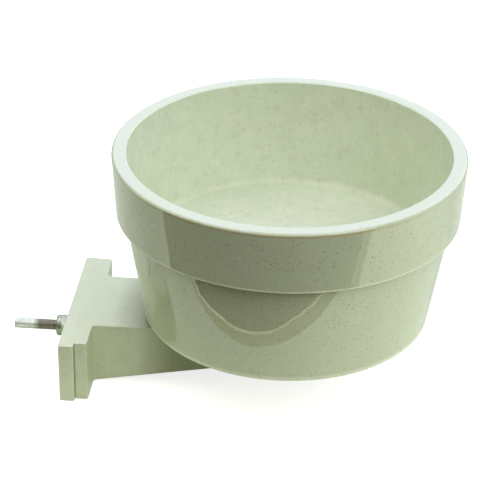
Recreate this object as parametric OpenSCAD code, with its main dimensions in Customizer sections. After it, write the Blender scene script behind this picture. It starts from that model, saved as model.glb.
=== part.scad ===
// Cage-mount seed cup: a deep round cup that twist-locks onto a moulded bracket.
// The bracket clamps to the wires of a cage between its own flange and a loose
// plate, drawn together by one bolt and lock nut.
// Millimetres, +Z up, +X from the cage towards the cup. The origin is where the
// bolt's axis meets the flange's cage-side face.

/* [Cup] */
// Outer diameter of the rim
rim_d = 149; // [135:1:165]
// Height of the whole cup, base to rim
cup_h = 75.8; // [70:0.2:85]
// Width of the flat band on top of the rim, with its rounded edges
rim_band_w = 6.5; // [5.5:0.1:8]
// Radius on the outer edge of the rim
rim_edge_r = 1.2; // [0.6:0.1:2]
// Radius on the inner edge of the rim
rim_inner_edge_r = 0.8; // [0.4:0.1:1.4]
// Height of the straight collar below the rim
collar_h = 27.4; // [20:0.2:30]
// How much the collar narrows on each side from top to bottom
collar_draft = 1.5; // [0.5:0.1:2.5]
// Radius on the collar's lower edge
collar_edge_r = 0.8; // [0.3:0.1:1.2]
// Depth of the step from the collar in to the body
collar_step = 3.4; // [2:0.1:5]
// How much the body narrows on each side from the collar to the foot
body_draft = 8.05; // [4:0.05:10]
// Radius on the foot's outer edge
foot_edge_r = 1.6; // [0.6:0.1:2.2]
// Depth from the rim to the floor of the bowl
bowl_depth = 47; // [40:0.5:52]
// Depth from the rim to the bend in the bowl's wall
bowl_bend_depth = 26.6; // [20:0.2:32]
// Thickness of the bowl's wall below the bend
wall_t = 3.2; // [2.4:0.1:4]
// Radius of the fillet round the floor
bowl_fillet_r = 3; // [1:0.5:5]
// Thickness of the bowl's floor
cup_floor_t = 3.2; // [2.4:0.1:4]
// Thickness of the skirt below the floor
skirt_t = 3.2; // [2.4:0.1:4]

/* [Twist lock] */
// Radius of the bracket's round spigot
spigot_r = 15; // [12:0.5:16]
// Reach of each lug past the spigot
lug_reach = 4; // [3:0.5:5]
// Thickness of each lug
lug_t = 3; // [2:0.5:4]
// Angle that each lug spans
lug_angle = 40; // [30:2:50]
// Number of lugs
lug_count = 2; // [2, 3]
// Thickness of the ring that the lugs hook over
lock_ring_t = 3; // [2:0.5:4]
// Turn from locked to free
lock_turn = 60; // [55:1:65]
// Angle that each stop in the socket spans
stop_angle = 6; // [4:1:8]
// Wall of the socket tube under the cup's floor
socket_wall_t = 3; // [2:0.5:4]
// Height of the shoulder that the cup stands on, above the arm
shoulder_h = 2.5; // [2:0.1:4]

/* [Bracket] */
// Width of the flange across the cage wires
flange_w = 74.3; // [66:0.1:84]
// Height of the flange
flange_h = 27.7; // [24:0.1:32]
// Height of the flange's top edge above the bolt's axis
flange_top = 14; // [12:0.1:16]
// Thickness of the flange
flange_t = 5.65; // [4:0.05:7]
// Distance from the flange's face to the cup's axis
reach = 87.45; // [84:0.05:100]
// Width of the arm where it leaves the flange
arm_root_w = 43.7; // [38:0.1:48]
// Width of the arm at the cup's axis
arm_tip_w = 40.2; // [36:0.1:42]
// Height of the arm under the cup's axis
arm_tip_h = 13.5; // [11:0.1:16]
// Wall of the arm, open underneath
arm_wall_t = 3.2; // [2.4:0.1:3.6]
// Thickness of the ribs that hold the bolt's head
rib_t = 2.4; // [1.6:0.1:3]
// Radius on the flange's upright edges
flange_side_r = 1; // [0.5:0.1:1.8]
// Radius on the flange's other edges
flange_edge_r = 0.5; // [0.2:0.1:1]
// Radius of the hollow fillets where the arm's sides meet the flange
root_fillet_r = 1.5; // [0.8:0.1:2.5]

/* [Clamp] */
// Width of the clamp plate
clamp_w = 77.7; // [70:0.1:88]
// Height of the clamp plate
clamp_h = 27.2; // [24:0.1:31]
// Height of the clamp plate's top edge above the bolt's axis
clamp_top = 13.2; // [11:0.1:15]
// Thickness of the clamp plate
clamp_t = 6.5; // [4.5:0.05:7.5]
// Radius on the clamp plate's upright edges
clamp_side_r = 0.9; // [0.5:0.1:1.8]
// Radius on the clamp plate's other edges
clamp_edge_r = 0.5; // [0.2:0.1:1]

/* [Fasteners] */
// Thread diameter of the bolt
bolt_d = 4.826; // [4:0.002:5]
// Length of the bolt under its head
bolt_l = 38.1; // [38:0.1:45]
// Width across the flats of the bolt's head
head_af = 7.94; // [7:0.02:9]
// Height of the bolt's head
head_h = 3.05; // [2.5:0.05:4]
// Outer diameter of the washer
washer_d = 12.7; // [11:0.1:14]
// Bore of the washer
washer_bore_d = 5.56; // [5.4:0.02:5.8]
// Thickness of the washer
washer_t = 1.24; // [0.8:0.02:1.6]
// Width across the flats of the nut
nut_af = 9.53; // [9:0.01:10.5]
// Height of the nut with its collar
nut_h = 5.95; // [5.4:0.05:6.6]
// Height of the nut's round collar
nut_collar_h = 2.2; // [1.8:0.1:2.6]
// Radius on the collar's shoulder
nut_collar_r = 0.9; // [0.4:0.1:1.2]
// Thickness of the plastic ring in the collar
insert_t = 1.5; // [1:0.1:1.6]
// Radial width of the plastic ring
insert_w = 1.15; // [0.8:0.05:1.3]

/* [Hidden] */

// Shared clearances and the overrun of every cut
play = 0.3;
hole_play = 0.25;
thread_play = 0.05;
seat_play = 0.02;
over = 1;

// Smoothness
$fn = 96;
arc_steps = 6;

// Colours of the plastic and the metal
cup_colour = [0.74, 0.78, 0.67];
bracket_colour = [0.68, 0.72, 0.60];
metal_colour = [0.78, 0.79, 0.76];
insert_colour = [0.90, 0.91, 0.88];

// Heights of the bracket, from the bolt's axis
flange_foot = flange_top - flange_h;
shoulder_top = flange_top + shoulder_h;

// Heights of the cup
cup_foot = shoulder_top;
rim_top = cup_foot + cup_h;
collar_foot = rim_top - collar_h;
bowl_bend = rim_top - bowl_bend_depth;
bowl_floor = rim_top - bowl_depth;
floor_under = bowl_floor - cup_floor_t;

// Radii of the cup
rim_r = rim_d / 2;
bowl_mouth_r = rim_r - rim_band_w;
collar_foot_r = rim_r - collar_draft;
body_top_r = collar_foot_r - collar_step;
foot_r = body_top_r - body_draft;
body_slope = body_draft / (collar_foot - cup_foot);
bowl_bend_r = body_top_r - wall_t;
bowl_floor_r = bowl_bend_r - body_slope * (collar_foot - bowl_floor);
skirt_foot_r = foot_r - skirt_t;
skirt_top_r = skirt_foot_r + body_slope * (floor_under - cup_foot);

// The twist lock
lug_r = spigot_r + lug_reach;
socket_r = lug_r + play + play;
socket_tube_r = socket_r + socket_wall_t;
lock_hole_r = spigot_r + play;
lock_ring_top = cup_foot + lock_ring_t;
lug_foot = lock_ring_top + play;
lug_top = lug_foot + lug_t;
notch_slack = 3;
notch_angle = lug_angle + 2 * notch_slack;
stop_slack = 1;
stop_near = lug_angle / 2 + stop_slack;
stop_far = stop_near + lock_turn;

// The arm
arm_tip_r = arm_tip_w / 2;
arm_under_share = 0.99;
arm_root_foot = flange_foot * arm_under_share;
arm_tip_foot = flange_top - arm_tip_h;
arm_slope = (arm_tip_foot - arm_root_foot) / (reach - flange_t);
arm_end = reach + arm_tip_r;
arm_end_foot = arm_tip_foot + arm_slope * arm_tip_r;
spigot_core_r = spigot_r - arm_wall_t;
arm_side_turn = atan((arm_tip_r - arm_root_w / 2) / reach);
rib_gap = head_af + 2 * play;

// The bolt's axis line
bolt_r = bolt_d / 2;
bolt_tip = flange_t - bolt_l;
hole_r = bolt_r + hole_play;
thread_bore_r = bolt_r + thread_play;
tip_chamfer = bolt_r / 4;
clamp_outer = -clamp_t;
washer_outer = clamp_outer - washer_t;
nut_outer = washer_outer - nut_h;
nut_collar_outer_r = nut_af / 2 - thread_play;
insert_r = thread_bore_r + insert_w;
insert_lip = (nut_collar_h - insert_t) / 2;

// Points of an arc, from one angle to another, as a list
function arc(x, y, r, a, b) =
  [for (i = [0:arc_steps]) let (t = a + (b - a) * i / arc_steps) [x + r * cos(t), y + r * sin(t)]];

// A flat rectangle with round corners, between two corner points
module round_rect(x0, y0, x1, y1, r) {
  translate([x0 + r, y0]) square([x1 - x0 - 2 * r, y1 - y0]);
  translate([x0, y0 + r]) square([x1 - x0, y1 - y0 - 2 * r]);
  for (x = [x0 + r, x1 - r], y = [y0 + r, y1 - r]) translate([x, y]) circle(r);
}

// A plate centred on the bolt's axis line, with rounded edges. The top and bottom edges of its seam face, which
// touches the other plate, stay sharp: seam is -1 for the face at x0 and 1 for the face at x1
module plate(x0, x1, w, foot, top, side_r, edge_r, seam) {
  sharp = 2 * edge_r;
  intersection() {
    translate([x0 - over, 0, 0]) rotate([90, 0, 90])
      linear_extrude(x1 - x0 + 2 * over) round_rect(-w / 2, foot, w / 2, top, edge_r);
    translate([0, w / 2 + over, 0]) rotate([90, 0, 0])
      linear_extrude(w + 2 * over)
        round_rect(x0 - (seam < 0 ? sharp : 0), foot, x1 + (seam > 0 ? sharp : 0), top, edge_r);
    translate([0, 0, foot - over])
      linear_extrude(top - foot + 2 * over) round_rect(x0, -w / 2, x1, w / 2, side_r);
  }
}

// A round bar or bore along the bolt's axis line
module axle(x0, x1, r) {
  translate([x0, 0, 0]) rotate([0, 90, 0]) cylinder(h = x1 - x0, r = r);
}

// A hexagonal bar along the same line, with flats facing the sides
module hex_bar(x0, x1, af) {
  translate([x0, 0, 0]) rotate([0, 90, 0]) cylinder(h = x1 - x0, r = af / 2 / cos(30), $fn = 6);
}

// A slice of a ring round the cup's axis, in the cup's own place
module ring_slice(r0, r1, z0, z1, mid, span) {
  far = 2 * r1;
  translate([0, 0, z0]) intersection() {
    difference() {
      cylinder(h = z1 - z0, r = r1);
      translate([0, 0, -over]) cylinder(h = z1 - z0 + 2 * over, r = r0);
    }
    rotate([0, 0, mid]) linear_extrude(z1 - z0)
      polygon([[0, 0], [far * cos(span / 2), -far * sin(span / 2)], [far * cos(span / 2), far * sin(span / 2)]]);
  }
}

// The bowl, its rim and collar, and the hollow skirt that it stands on
module cup_shell() {
  rotate_extrude() polygon(concat(
    arc(foot_r - foot_edge_r, cup_foot + foot_edge_r, foot_edge_r, -90, 0),
    [[body_top_r, collar_foot]],
    arc(collar_foot_r - collar_edge_r, collar_foot + collar_edge_r, collar_edge_r, -90, 0),
    arc(rim_r - rim_edge_r, rim_top - rim_edge_r, rim_edge_r, 0, 90),
    arc(bowl_mouth_r + rim_inner_edge_r, rim_top - rim_inner_edge_r, rim_inner_edge_r, 90, 180),
    [[bowl_bend_r, bowl_bend]],
    arc(bowl_floor_r - bowl_fillet_r, bowl_floor + bowl_fillet_r, bowl_fillet_r, 0, -90),
    [[0, bowl_floor], [0, floor_under], [skirt_top_r, floor_under], [skirt_foot_r, cup_foot]]
  ));
}

// The socket under the floor: a tube with a notched ring and stops for the lugs
module lock_socket() {
  difference() {
    rotate_extrude() polygon([
      [lock_hole_r, cup_foot], [socket_tube_r, cup_foot], [socket_tube_r, floor_under + cup_floor_t / 2],
      [socket_r, floor_under + cup_floor_t / 2], [socket_r, lock_ring_top], [lock_hole_r, lock_ring_top]
    ]);
    for (i = [1:lug_count])
      ring_slice(spigot_r, socket_r, cup_foot - over, lock_ring_top + over,
        90 - lock_turn + i * 360 / lug_count, notch_angle);
  }
  for (i = [1:lug_count]) {
    turn = 90 + i * 360 / lug_count;
    ring_slice(lock_hole_r, socket_r + socket_wall_t / 2, lock_ring_top - lock_ring_t / 2, lug_top,
      turn + stop_near + stop_angle / 2, stop_angle);
    ring_slice(lock_hole_r, socket_r + socket_wall_t / 2, lock_ring_top - lock_ring_t / 2, lug_top,
      turn - stop_far - stop_angle / 2, stop_angle);
  }
}

module cup() {
  color(cup_colour) translate([reach, 0, 0]) {
    cup_shell();
    lock_socket();
  }
}

// Outline of the arm seen from above, drawn in by a wall thickness
module arm_plan(inset) {
  translate([reach, 0]) circle(arm_tip_r - inset);
  polygon([
    [0, arm_root_w / 2 - inset], [reach, arm_tip_r - inset],
    [reach, inset - arm_tip_r], [0, inset - arm_root_w / 2]
  ]);
}

// Side view of the arm, whose underside climbs towards the cup
module arm_side() {
  polygon([
    [flange_t / 2, flange_top], [arm_end + over, flange_top],
    [arm_end + over, arm_end_foot + arm_slope * over], [flange_t / 2, arm_root_foot]
  ]);
}

// The side view drawn across the whole bracket
module arm_slab() {
  translate([0, flange_w / 2, 0]) rotate([90, 0, 0]) linear_extrude(flange_w) arm_side();
}

// A hollow fillet between the flange and the arm's side, touching both
module root_fillet() {
  x = flange_t + root_fillet_r;
  y = arm_root_w / 2 + x * tan(arm_side_turn) + root_fillet_r / cos(arm_side_turn);
  touch_x = x + root_fillet_r * sin(arm_side_turn);
  touch_y = y - root_fillet_r * cos(arm_side_turn);
  difference() {
    polygon([
      [flange_t - over, touch_y - over], [touch_x, touch_y - over], [touch_x, touch_y],
      [x, y], [flange_t - over, y]
    ]);
    translate([x, y]) circle(root_fillet_r);
  }
}

// Both fillets, as high as the arm
module root_fillets() {
  intersection() {
    arm_slab();
    translate([0, 0, flange_foot - over]) linear_extrude(flange_h + 2 * over) {
      root_fillet();
      mirror([0, 1]) root_fillet();
    }
  }
}

// The arm: a trough open underneath, with two ribs beside the bolt's head
module arm() {
  intersection() {
    arm_slab();
    difference() {
      translate([0, 0, flange_foot - over]) linear_extrude(flange_h + 2 * over) arm_plan(0);
      difference() {
        translate([flange_t, 0, 0]) translate([0, 0, flange_foot - 2 * over])
          linear_extrude(flange_h + 2 * over - arm_wall_t)
          translate([-flange_t, 0]) intersection() {
            arm_plan(arm_wall_t);
            translate([flange_t, -arm_root_w]) square([arm_end, 2 * arm_root_w]);
          }
        for (side = [-1, 1])
          translate([0, side * (rib_gap + rib_t) / 2 - rib_t / 2, flange_foot - 3 * over])
            cube([arm_end, rib_t, flange_h + 4 * over]);
      }
    }
  }
}

// The round shoulder, spigot and lugs that carry the cup
module lock_spigot() {
  translate([0, 0, flange_top - arm_wall_t / 2]) cylinder(h = shoulder_h + arm_wall_t / 2, r = arm_tip_r);
  translate([0, 0, flange_top]) cylinder(h = lug_top - flange_top, r = spigot_r);
  for (i = [1:lug_count])
    ring_slice(spigot_r - arm_wall_t / 2, lug_r, lug_foot, lug_top, 90 + i * 360 / lug_count, lug_angle);
}

module bracket() {
  color(bracket_colour) difference() {
    union() {
      plate(0, flange_t, flange_w, flange_foot, flange_top, flange_side_r, flange_edge_r, -1);
      arm();
      root_fillets();
      translate([reach, 0, 0]) lock_spigot();
    }
    translate([reach, 0, flange_foot - over])
      cylinder(h = lug_top - flange_foot + over - arm_wall_t, r = spigot_core_r);
    axle(-over, flange_t + over, hole_r);
  }
}

module clamp_plate() {
  color(bracket_colour) difference() {
    plate(clamp_outer, 0, clamp_w, clamp_top - clamp_h, clamp_top, clamp_side_r, clamp_edge_r, 1);
    axle(clamp_outer - over, over, hole_r);
  }
}

module bolt() {
  color(metal_colour) {
    hex_bar(flange_t, flange_t + head_h, head_af);
    rotate([0, 90, 0]) rotate_extrude() polygon([
      [0, bolt_tip], [bolt_r - tip_chamfer, bolt_tip], [bolt_r, bolt_tip + tip_chamfer],
      [bolt_r, flange_t + head_h / 2], [0, flange_t + head_h / 2]
    ]);
  }
}

module washer() {
  color(metal_colour) difference() {
    axle(washer_outer, clamp_outer, washer_d / 2);
    axle(washer_outer - over, clamp_outer + over, washer_bore_d / 2);
  }
}

// The nut's round envelope: chamfered hexagon corners, then the domed collar
module nut_envelope() {
  corner_r = nut_af / 2 / cos(30);
  hex_h = nut_h - nut_collar_h;
  chamfer = corner_r - nut_af / 2;
  translate([washer_outer, 0, 0]) rotate([0, -90, 0]) rotate_extrude() polygon(concat(
    [[0, 0], [nut_af / 2, 0], [corner_r, chamfer], [corner_r, hex_h - chamfer], [nut_collar_outer_r, hex_h]],
    arc(nut_collar_outer_r - nut_collar_r, nut_h - nut_collar_r, nut_collar_r, 0, 90),
    [[0, nut_h]]
  ));
}

module lock_nut() {
  color(metal_colour) difference() {
    intersection() {
      hex_bar(nut_outer - over, washer_outer + over, nut_af);
      nut_envelope();
    }
    axle(nut_outer - over, washer_outer + over, thread_bore_r + seat_play);
    axle(nut_outer + insert_lip, nut_outer + insert_lip + insert_t, insert_r + seat_play);
  }
}

module nut_insert() {
  color(insert_colour) difference() {
    axle(nut_outer + insert_lip, nut_outer + insert_lip + insert_t, insert_r);
    axle(nut_outer, washer_outer, thread_bore_r);
  }
}

cup();
bracket();
clamp_plate();
bolt();
washer();
lock_nut();
nut_insert();
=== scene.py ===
import logging
import math
from collections.abc import Callable, Sequence
from dataclasses import dataclass
from enum import Enum
from functools import cached_property

import bmesh
import bpy
from mathutils import Matrix, Vector


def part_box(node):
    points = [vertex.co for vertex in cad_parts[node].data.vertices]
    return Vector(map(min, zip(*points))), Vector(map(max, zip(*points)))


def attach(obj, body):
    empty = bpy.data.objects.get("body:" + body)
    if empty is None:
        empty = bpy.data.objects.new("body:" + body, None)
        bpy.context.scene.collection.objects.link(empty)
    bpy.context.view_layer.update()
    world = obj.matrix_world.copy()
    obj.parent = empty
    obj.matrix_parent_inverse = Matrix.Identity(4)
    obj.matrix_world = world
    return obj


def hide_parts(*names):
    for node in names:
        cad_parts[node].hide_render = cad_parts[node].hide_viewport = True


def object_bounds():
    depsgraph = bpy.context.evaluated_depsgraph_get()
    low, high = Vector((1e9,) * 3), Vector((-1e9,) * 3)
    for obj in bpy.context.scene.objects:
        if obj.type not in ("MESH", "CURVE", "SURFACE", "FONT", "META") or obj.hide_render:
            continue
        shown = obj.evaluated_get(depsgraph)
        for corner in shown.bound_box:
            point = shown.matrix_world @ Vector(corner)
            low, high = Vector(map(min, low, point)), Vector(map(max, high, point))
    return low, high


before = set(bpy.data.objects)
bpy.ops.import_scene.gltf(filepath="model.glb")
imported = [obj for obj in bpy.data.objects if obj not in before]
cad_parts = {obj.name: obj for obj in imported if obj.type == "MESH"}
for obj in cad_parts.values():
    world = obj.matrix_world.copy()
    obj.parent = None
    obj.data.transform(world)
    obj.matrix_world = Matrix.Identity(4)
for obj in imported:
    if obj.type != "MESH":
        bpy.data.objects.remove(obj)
CAD_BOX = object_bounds()

MM = 0.001
FULL_TURN = 2 * math.pi
HEX_SIDES = 6
UP = Vector((0, 0, 1))
TO_CAGE = Vector((-1, 0, 0))
# How far every visible surface stays inside the CAD's box
MARGIN = 0.01 * MM
# Points closer than this become one
WELD = 0.001 * MM
# Coordinates closer than this count as the same
NEAR = 0.1 * MM
# How far a cutter reaches past what it cuts, or a joined piece into its neighbour
OVER = 1 * MM
# How far the floor lies below the object
FLOOR_GAP = 0.3 * MM
LOG = logging.getLogger("seed_cup")

Rgb = tuple[float, float, float]
Outline = list[tuple[float, float]]
Socket = bpy.types.NodeSocket
Inputs = dict[str | int, object]
Edge = Sequence[tuple[float, float]]


class Join(Enum):
    """How one solid is combined with another."""

    ADD = "UNION"
    CUT = "DIFFERENCE"
    KEEP_SHARED = "INTERSECT"


class Part(Enum):
    """The CAD nodes of the object."""

    CUP = "cup"
    BRACKET = "bracket"
    CLAMP_PLATE = "clamp_plate"
    BOLT = "bolt"
    WASHER = "washer"
    LOCK_NUT = "lock_nut"
    NUT_INSERT = "nut_insert"


class Body(Enum):
    """The bodies that the pieces ride on."""

    BRACKET = "bracket"
    CUP = "cup"
    CLAMP = "clamp"
    NUT = "nut"


class Slot(Enum):
    """The record's material slots."""

    CUP = "cup_plastic"
    BRACKET = "bracket_plastic"
    STEEL = "plated_steel"
    NYLON = "nut_ring"


def node_box(part: Part) -> tuple[Vector, Vector]:
    """Returns the lowest and highest corner of a CAD node at rest, in metres."""
    low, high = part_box(part.value)
    return Vector(low), Vector(high)


def arc(x: float, y: float, radius: float, start: float, end: float, steps: int = 6) -> Outline:
    """Returns points along an arc.

    Args:
        x: First coordinate of the centre.
        y: Second coordinate of the centre.
        radius: Radius of the arc.
        start: Angle of the first point, in degrees.
        end: Angle of the last point, in degrees.
        steps: Number of stretches between the points.

    Returns:
        The points, first to last.
    """
    turns = [math.radians(start + (end - start) * i / steps) for i in range(steps + 1)]
    return [(x + radius * math.cos(turn), y + radius * math.sin(turn)) for turn in turns]


def hex_corner(flat_r: float) -> float:
    """Returns how far a hexagon's corners lie from its middle, when its flats lie flat_r from it."""
    return flat_r / math.cos(math.pi / HEX_SIDES)


def clear_selection() -> None:
    """Leaves edit mode and deselects every object."""
    if bpy.context.object is not None and bpy.context.object.mode != "OBJECT":
        bpy.ops.object.mode_set(mode="OBJECT")
    bpy.ops.object.select_all(action="DESELECT")


class Workpiece:
    """One mesh object on the bench, shaped by edit-mode operators."""

    def __init__(self, name: str) -> None:
        """Takes the object that was just added and bakes its place into its mesh.

        Args:
            name: The object's name.
        """
        self.body: bpy.types.Object = bpy.context.object
        self.body.name = name
        self.body.data.name = name
        bpy.ops.object.transform_apply(location=True, rotation=True, scale=True)

    @classmethod
    def block(cls, name: str, low: Vector, high: Vector) -> "Workpiece":
        """Adds a box between two corners.

        Args:
            name: The object's name.
            low: Lowest corner.
            high: Highest corner.

        Returns:
            The new workpiece.
        """
        clear_selection()
        bpy.ops.mesh.primitive_cube_add(size=1, location=(low + high) / 2, scale=high - low)
        return cls(name)

    @classmethod
    def drum(cls, name: str, radius: float, start: Vector, end: Vector, sides: int = 64) -> "Workpiece":
        """Adds a round or many-sided bar between two points.

        Args:
            name: The object's name.
            radius: Radius to its corners.
            start: Centre of one end.
            end: Centre of the other end.
            sides: Number of its sides.

        Returns:
            The new workpiece.
        """
        clear_selection()
        along = end - start
        turn = along.to_track_quat("Z", "Y").to_euler()
        bpy.ops.mesh.primitive_cylinder_add(
            vertices=sides, radius=radius, depth=along.length, location=(start + end) / 2, rotation=turn
        )
        return cls(name)

    @classmethod
    def bar(cls, name: str, radius: float, start: float, end: float, sides: int = 48) -> "Workpiece":
        """Adds a drum on the X axis, which is the bolt's.

        Args:
            name: The object's name.
            radius: Radius to its corners.
            start: Where it starts along X.
            end: Where it ends along X.
            sides: Number of its sides.

        Returns:
            The new workpiece.
        """
        return cls.drum(name, radius, Vector((start, 0, 0)), Vector((end, 0, 0)), sides)

    @classmethod
    def drawn(cls, name: str, points: Sequence[Vector]) -> "Workpiece":
        """Draws a line by extruding one vertex from point to point.

        Args:
            name: The object's name.
            points: The line's points, in metres.

        Returns:
            The new workpiece, left in edit mode with its last point selected.
        """
        clear_selection()
        bpy.ops.mesh.primitive_plane_add(size=MM, location=points[0])
        piece = cls(name)
        bpy.ops.object.mode_set(mode="EDIT")
        bpy.ops.mesh.select_mode(type="VERT")
        bpy.ops.mesh.select_all(action="SELECT")
        bpy.ops.mesh.merge(type="CENTER")
        for start, end in zip(points, points[1:]):
            bpy.ops.mesh.extrude_region_move(TRANSFORM_OT_translate={"value": end - start})
        return piece

    @classmethod
    def turned(
        cls, name: str, outline: Outline, centre: Vector, axis: Vector, steps: int, closed: bool = False
    ) -> "Workpiece":
        """Spins an outline of (radius, height) points about an axis.

        Args:
            name: The object's name.
            outline: Points as distance from the axis and height along it.
            centre: Where the axis starts.
            axis: Direction of the axis, along Z or X.
            steps: Number of stretches round the axis.
            closed: Whether the outline is a ring that never meets the axis.

        Returns:
            The new workpiece.
        """
        across = UP if abs(axis.x) > abs(axis.z) else Vector((1, 0, 0))
        ring = [*outline, outline[0]] if closed else outline
        piece = cls.drawn(name, [centre + across * radius + axis * height for radius, height in ring])
        bpy.ops.mesh.select_all(action="SELECT")
        bpy.ops.mesh.spin(steps=steps, angle=FULL_TURN, center=centre, axis=axis)
        piece.heal()
        return piece

    @classmethod
    def slab(cls, name: str, outline: Outline, low: float, high: float) -> "Workpiece":
        """Fills a plan outline and raises it to a slab.

        Args:
            name: The object's name.
            outline: Plan points, in order round the outline.
            low: Height of the slab's underside.
            high: Height of its top.

        Returns:
            The new workpiece.
        """
        piece = cls.drawn(name, [Vector((x, y, low)) for x, y in outline])
        bpy.ops.mesh.select_all(action="SELECT")
        bpy.ops.mesh.edge_face_add()
        bpy.ops.mesh.extrude_region_move(TRANSFORM_OT_translate={"value": (0, 0, high - low)})
        piece.heal()
        return piece

    def heal(self) -> None:
        """Merges doubled points, turns every face outwards and leaves edit mode."""
        bpy.ops.mesh.select_all(action="SELECT")
        bpy.ops.mesh.remove_doubles(threshold=WELD)
        bpy.ops.mesh.normals_make_consistent(inside=False)
        bpy.ops.object.mode_set(mode="OBJECT")

    def activate(self) -> None:
        """Makes this the one selected object."""
        clear_selection()
        bpy.context.view_layer.objects.active = self.body
        self.body.select_set(True)

    def edit(self) -> bmesh.types.BMesh:
        """Opens the piece in edit mode, with nothing selected.

        Returns:
            Its mesh.
        """
        self.activate()
        bpy.ops.object.mode_set(mode="EDIT")
        bpy.ops.mesh.select_mode(type="VERT")
        bpy.ops.mesh.select_all(action="DESELECT")
        return bmesh.from_edit_mesh(self.body.data)

    def pick_faces(self, wanted: Callable[[Vector], bool]) -> int:
        """Selects the faces whose normal passes a test, in edit mode.

        Args:
            wanted: Test of a face's normal.

        Returns:
            How many faces were selected.
        """
        mesh = self.edit()
        bpy.ops.mesh.select_mode(type="FACE")
        found = [face for face in mesh.faces if wanted(face.normal)]
        for face in found:
            face.select_set(True)
        bmesh.update_edit_mesh(self.body.data)
        return len(found)

    def round_edges(
        self, wanted: Callable[[Vector, Vector], bool], radius: float, segments: int = 4, sharp: float = 30
    ) -> None:
        """Rounds the sharp edges whose two ends pass a test.

        Args:
            wanted: Test of an edge's two ends.
            radius: Width of the rounding.
            segments: Number of strips across it.
            sharp: Least angle between an edge's faces, in degrees.
        """
        mesh = self.edit()
        bpy.ops.mesh.select_mode(type="EDGE")
        least = math.radians(sharp)
        found = [
            edge
            for edge in mesh.edges
            if edge.is_manifold and edge.calc_face_angle() > least and wanted(*(end.co for end in edge.verts))
        ]
        for edge in found:
            edge.select_set(True)
        bmesh.update_edit_mesh(self.body.data)
        if found:
            bpy.ops.mesh.bevel(offset=radius, segments=segments, affect="EDGES", clamp_overlap=True)
        bpy.ops.object.mode_set(mode="OBJECT")

    def round_plate(
        self,
        side_radius: float,
        edge_radius: float,
        seam: float,
        seam_share: float = 1 / 8,
        corner: float = 60,
    ) -> None:
        """Rounds a block's upright edges, then its level ones, and only breaks those of its seam face.

        Args:
            side_radius: Radius on the upright edges.
            edge_radius: Radius on the level ones.
            seam: Where along X the face lies that touches the other plate.
            seam_share: Share of the edge radius that the seam face gets.
            corner: Least angle between a level edge's faces, in degrees.
        """

        def is_level(a: Vector, b: Vector) -> bool:
            """Returns whether an edge is level."""
            return abs(a.z - b.z) < NEAR

        def off_seam(a: Vector, b: Vector) -> float:
            """Returns how far an edge reaches from the seam face."""
            return max(abs(a.x - seam), abs(b.x - seam))

        seam_radius = edge_radius * seam_share
        self.round_edges(lambda a, b: not is_level(a, b), side_radius, segments=5)
        self.round_edges(lambda a, b: is_level(a, b) and off_seam(a, b) > NEAR, edge_radius, 4, corner)
        self.round_edges(lambda a, b: is_level(a, b) and off_seam(a, b) < NEAR, seam_radius, 2, corner)

    def level_selection(self, height: float) -> None:
        """Moves the selected flat faces up or down to a height and leaves edit mode.

        Args:
            height: Where they end.
        """
        mesh = bmesh.from_edit_mesh(self.body.data)
        now = next(vertex.co.z for vertex in mesh.verts if vertex.select)
        bpy.ops.transform.translate(value=(0, 0, height - now))
        self.heal()

    def turn_flats_sideways(self) -> None:
        """Turns a hexagon bar that lies along X until two of its flats face Y."""
        mesh = self.edit()
        reach_y = max(abs(vertex.co.y) for vertex in mesh.verts)
        reach_z = max(abs(vertex.co.z) for vertex in mesh.verts)
        bpy.ops.mesh.select_all(action="SELECT")
        if reach_y > reach_z:
            bpy.ops.transform.rotate(value=math.pi / HEX_SIDES, orient_axis="X", center_override=(0, 0, 0))
        bpy.ops.object.mode_set(mode="OBJECT")

    def slice_off(self, point: Vector, normal: Vector) -> None:
        """Cuts away what lies on the far side of a plane and closes the cut.

        Args:
            point: A point on the plane.
            normal: Direction of the side that goes.
        """
        self.edit()
        bpy.ops.mesh.select_all(action="SELECT")
        bpy.ops.mesh.bisect(plane_co=point, plane_no=normal, use_fill=True, clear_outer=True)
        self.heal()

    def combine(self, other: "Workpiece", how: Join) -> None:
        """Adds, cuts or intersects another piece, which is used up.

        Args:
            other: The piece to combine with this one.
            how: The kind of combination.
        """
        self.activate()
        tool = self.body.modifiers.new(how.name, "BOOLEAN")
        tool.operation = how.value
        tool.object = other.body
        tool.solver = "EXACT"
        bpy.ops.object.modifier_apply(modifier=tool.name)
        spent = other.body.data
        bpy.data.objects.remove(other.body)
        bpy.data.meshes.remove(spent)

    def finish(
        self, material: bpy.types.Material, part: Part, body: Body, slot: Slot, sharp: float = 32
    ) -> None:
        """Smooths the shading of the round parts and gives the piece its finish and its place in the frame.

        Args:
            material: The finish.
            part: The CAD node that it stands for.
            body: The body that it rides on.
            slot: The record's slot of its finish; not used.
            sharp: Edges sharper than this many degrees stay sharp.
        """
        self.activate()
        bpy.ops.object.shade_smooth_by_angle(angle=math.radians(sharp))
        even = self.body.modifiers.new("even_shading", "WEIGHTED_NORMAL")
        even.keep_sharp = True
        bpy.ops.object.modifier_apply(modifier=even.name)
        self.body.data.materials.clear()
        self.body.data.materials.append(material)
        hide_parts(part.value)
        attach(self.body, body.value)
        LOG.info("%s stands for %s, %d faces", self.body.name, part.value, len(self.body.data.polygons))


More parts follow.
